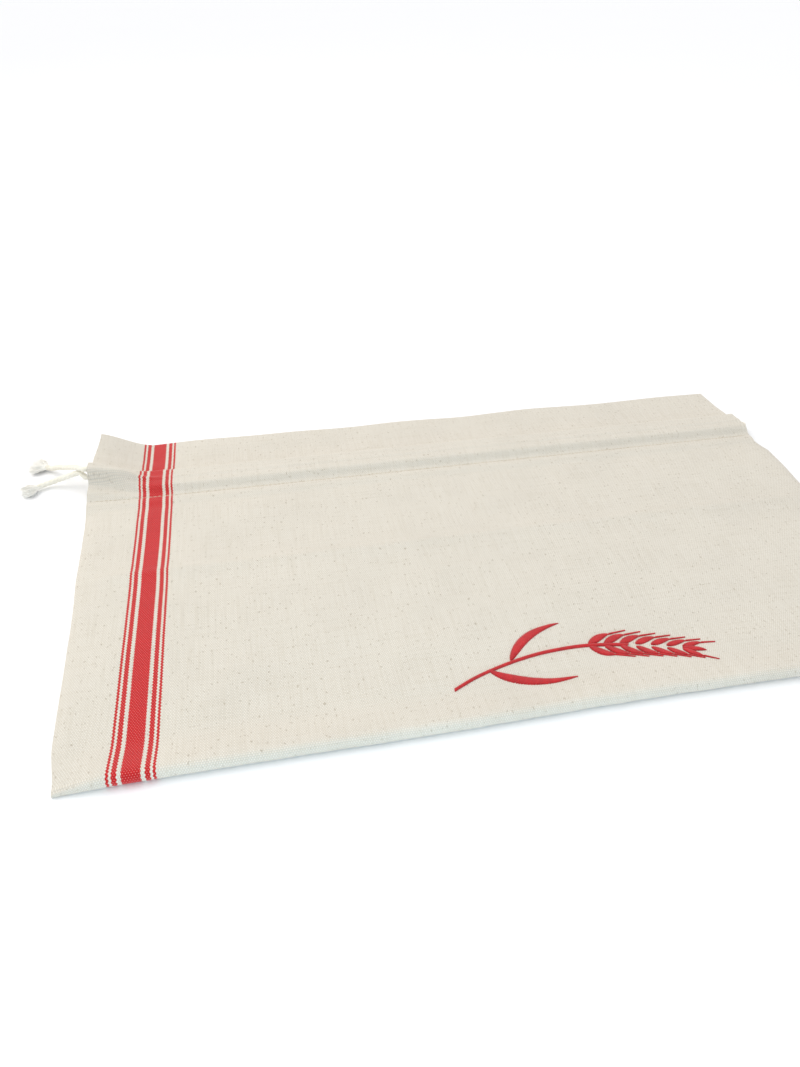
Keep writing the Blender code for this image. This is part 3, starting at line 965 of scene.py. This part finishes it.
class BREADBAG_OT_embroidery(bpy.types.Operator):
    """Embroider an ear of wheat with two leaves in red satin stitch"""
    bl_idname = "bread_bag.embroidery"
    bl_label = "Embroidery"

    def execute(self, context):
        bag = settings("cloth")
        sewing = settings("embroidery")
        shape = bmesh.new()
        half = sewing.span / 2

        def at(u, w):
            """Point in x and v from the sprig's own sizes."""
            return (sewing.middle_x + u * half, sewing.middle_v + w * half)

        stem = bezier(at(-1.0, -0.16), at(-0.25, 0.20), at(0.42, 0.02), 30)
        satin_patch(shape, bag, sewing, stem, lambda t: 0.0011 + 0.0004 * t, math.radians(58))
        ear = bezier(at(0.10, 0.075), at(0.50, 0.03), at(0.86, -0.10), 40)
        grain_length, grain_width, awn_length = 0.0150, 0.0058, 0.0105
        for n in range(sewing.grains):
            t = n / (sewing.grains - 1)
            k = int(t * (len(ear) - 4)) + 1
            x, v = ear[k]
            ahead = math.atan2(ear[k + 1][1] - v, ear[k + 1][0] - x)
            shrink = 1.0 - 0.24 * t
            for hand in (1, -1):
                spread_angle = ahead + hand * math.radians(36 - 10 * t)
                bend = ahead + hand * math.radians(16)
                foot = away_from((x, v), hand * 0.0012, ahead + math.pi / 2)
                reach = grain_length * shrink
                knee = away_from(foot, 0.55 * reach, spread_angle)
                tip = away_from(knee, 0.50 * reach, bend)
                satin_patch(shape, bag, sewing, bezier(foot, knee, tip),
                            lambda t, w=grain_width * shrink: leaf_outline(t, w),
                            math.radians(hand * 62))
                awn_tip = away_from(tip, awn_length * shrink, ahead + hand * 0.22)
                half_way = tuple((p + q) / 2 for p, q in zip(tip, awn_tip))
                satin_patch(shape, bag, sewing, bezier(tip, half_way, awn_tip, 4),
                            lambda t: 0.00075 - 0.0003 * t, math.radians(50))
        end, last_width = ear[-3], 0.0048
        knee, tip = (end[0] + 0.006, end[1] - 0.002), (end[0] + 0.0125, end[1] - 0.0050)
        satin_patch(shape, bag, sewing, bezier(end, knee, tip),
                    lambda t: leaf_outline(t, last_width), math.radians(60))
        for root, knee, tip, width in (
                (at(-0.52, 0.035), at(-0.36, 0.30), at(-0.02, 0.34), 0.0068),
                (at(-0.70, -0.035), at(-0.46, -0.26), at(-0.06, -0.22), 0.0074)):
            satin_patch(shape, bag, sewing, bezier(root, knee, tip, 24),
                        lambda t, w=width: leaf_outline(t, w, 0.38), math.radians(56))
        sprig = mesh_piece("embroidered_wheat", shape)
        sprig.data.shade_smooth()
        thread = thread_material("rayon_embroidery_thread", sewing.colour, sewing.shade,
                                 sheen=0.25, roughness=0.46, fibre_scale=1900.0)
        finish_piece(sprig, thread, "embroidery_thread")
        return {"FINISHED"}


def curve_points(route, spacing):
    """Points on the smooth curve through the route's points."""
    knots = [Vector(p) for p in route]
    knots = [2 * knots[0] - knots[1]] + knots + [2 * knots[-1] - knots[-2]]
    points = [knots[1].copy()]
    for a, b, c, d in zip(knots, knots[1:], knots[2:], knots[3:]):
        steps = max(1, round((c - b).length / spacing))
        for k in range(1, steps + 1):
            t = k / steps
            points.append(0.5 * (2 * b + (c - a) * t + (2 * a - 5 * b + 4 * c - d) * t ** 2
                                 + (3 * b - a - 3 * c + d) * t ** 3))
    return points


def twisted(lay_length, plies=3, depth=0.17):
    """Section of a twisted cord: its plies turn once every lay length."""
    def profile(angle, travelled):
        turn = angle - 2.0 * math.pi * travelled / lay_length
        return 1.0 - depth + depth * abs(math.cos(plies * turn / 2.0)) ** 0.7
    return profile


class BREADBAG_OT_cord(bpy.types.Operator):
    """Thread the drawcord through the tunnel and lay its two free ends"""
    bl_idname = "bread_bag.cord"
    bl_label = "Drawcord"

    def execute(self, context):
        cord = settings("cord")
        self.inside(cord)
        for where, route in END_ROUTES.items():
            self.free_end(cord, where, route)
        return {"FINISHED"}

    def inside(self, cord):
        """The run in both tunnels and its turn at the right slit."""
        bag = settings("cloth")
        half = HEIGHT / 2
        left, turn_x = END_ROUTES["far"][0][0], half_width(BACK_CORD_V, 1) - TURN_START
        points = []
        for x in spread(left, turn_x, 420):
            v = front_cord_v(x)
            hem, past = (layer_height(bag, "front_hem", x, v + n) for n in (0.0, NUDGE))
            lean = math.hypot(1.0, (past - hem) / NUDGE)
            z = hem + (bag.cloth / 2 + CORD_ROOM + cord.diameter / 2) * lean
            points.append(Vector((x, v - half, z + corner_lift(bag, x, v))))
        start = points[-1].copy()
        back_z = (bag.cloth + bag.layer_step + cord.diameter) / 2
        radius = (BACK_CORD_V - half - start.y) / 2
        for degrees in range(-80, 90, 10):
            turn = math.radians(degrees)
            drop = smooth((degrees + 60) / 120)
            points.append(Vector((turn_x + radius * math.cos(turn),
                                  start.y + radius + radius * math.sin(turn),
                                  start.z + (back_z - start.z) * drop)))
        for x in spread(turn_x, left, 300):
            points.append(Vector((x, BACK_CORD_V - half,
                                  back_z + corner_lift(bag, x, BACK_CORD_V))))
        shape = bmesh.new()
        add_tube(shape, points, cord.diameter / 2, 14, twisted(cord.lay_length))
        run = mesh_piece("drawcord_inside", shape)
        run.data.shade_smooth()
        finish_piece(run, cord_material(cord), "cotton_cord", "drawcord_run")

    def free_end(self, cord, where, route):
        """One free end with its opened strands."""
        points = curve_points(route, 0.0005)
        shape = bmesh.new()
        add_tube(shape, points, cord.diameter / 2, 24, twisted(cord.lay_length))
        tail = mesh_piece("cord_tail_" + where, shape)
        tail.data.shade_smooth()
        finish_piece(tail, cord_material(cord), "cotton_cord", "cord_end_" + where)
        tuft = self.tuft(cord, where, points)

    def tuft(self, cord, where, points):
        """The cord's own strands, come undone past its end and spread into a fan."""
        size, half_fan = TUFT_SIZES[where]
        ahead = points[-1] - points[-6]
        ahead.z = 0.0
        ahead.normalize()
        side = Vector((-ahead.y, ahead.x, 0.0))
        foot = points[-1] - ahead * TUFT_OVERLAP
        chance = random.Random(where)
        shape = bmesh.new()
        for _ in range(cord.strands):
            fan, rise = chance.uniform(-1.0, 1.0), chance.uniform(-1.0, 1.0)
            reach = size + TUFT_OVERLAP
            reach *= (1.0 - 0.16 * fan * fan) * chance.uniform(0.55, 1.0)
            wave, phase = chance.uniform(-0.0016, 0.0016), chance.uniform(0.0, 6.28)
            round_rise = rise * math.sqrt(max(0.0, 1.0 - fan * fan))
            path, radii = [], []
            for t in spread(0.0, 1.0, 10):
                open_up = smooth(t * 1.15)
                across = fan * (TUFT_NECK + (half_fan - TUFT_NECK) * open_up)
                across += wave * math.sin(4.0 * t + phase) * t
                point = foot + ahead * reach * t + side * across
                bush = TUFT_NECK_RISE + (TUFT_RISE - TUFT_NECK_RISE) * open_up
                point.z = max(0.00035, foot.z + round_rise * bush)
                path.append(point)
                radii.append(STRAND * (1.0 - 0.5 * t))
            add_tube(shape, path, radii, 5)
        tuft = mesh_piece("tuft_strands_" + where, shape)
        tuft.data.shade_smooth()
        finish_piece(tuft, fibre_material(cord), "cotton_cord", "tuft_" + where)
        return tuft


class BREADBAG_PT_panel(bpy.types.Panel):
    """Lists the pieces of the bread bag"""
    bl_idname = "BREADBAG_PT_panel"
    bl_label = "Linen Bread Bag"
    bl_space_type = "VIEW_3D"
    bl_region_type = "UI"
    bl_category = "Bread Bag"

    def draw(self, context):
        for group, operator in STEPS:
            column = self.layout.column(align=True)
            values = settings(group)
            for name in values.bl_rna.properties.keys():
                if name not in {"rna_type", "name"}:
                    column.prop(values, name)
            column.operator(operator)


STEPS = (
    ("stage", "bread_bag.stage"),
    ("cord", "bread_bag.cord"),
    ("cloth", "bread_bag.cloth"),
    ("stitch", "bread_bag.stitches"),
    ("embroidery", "bread_bag.embroidery"),
)
GROUPS = {
    "stage": StageSettings,
    "cord": CordSettings,
    "cloth": BagClothSettings,
    "stitch": StitchSettings,
    "embroidery": EmbroiderySettings,
}
OPERATORS = (BREADBAG_OT_stage, BREADBAG_OT_cord, BREADBAG_OT_cloth, BREADBAG_OT_stitches,
             BREADBAG_OT_embroidery)


def register():
    """Add the settings, operators and panel."""
    for name, group in GROUPS.items():
        bpy.utils.register_class(group)
        setattr(bpy.types.Scene, "bread_bag_" + name, PointerProperty(type=group))
    for operator in OPERATORS:
        bpy.utils.register_class(operator)
    bpy.utils.register_class(BREADBAG_PT_panel)


def unregister():
    """Take them away again."""
    bpy.utils.unregister_class(BREADBAG_PT_panel)
    for operator in reversed(OPERATORS):
        bpy.utils.unregister_class(operator)
    for name, group in GROUPS.items():
        delattr(bpy.types.Scene, "bread_bag_" + name)
        bpy.utils.unregister_class(group)


def main():
    """Make every piece, in order."""
    register()
    for _, operator in STEPS:
        group, call = operator.split(".")
        getattr(getattr(bpy.ops, group), call)()


if __name__ == "__main__":
    main()
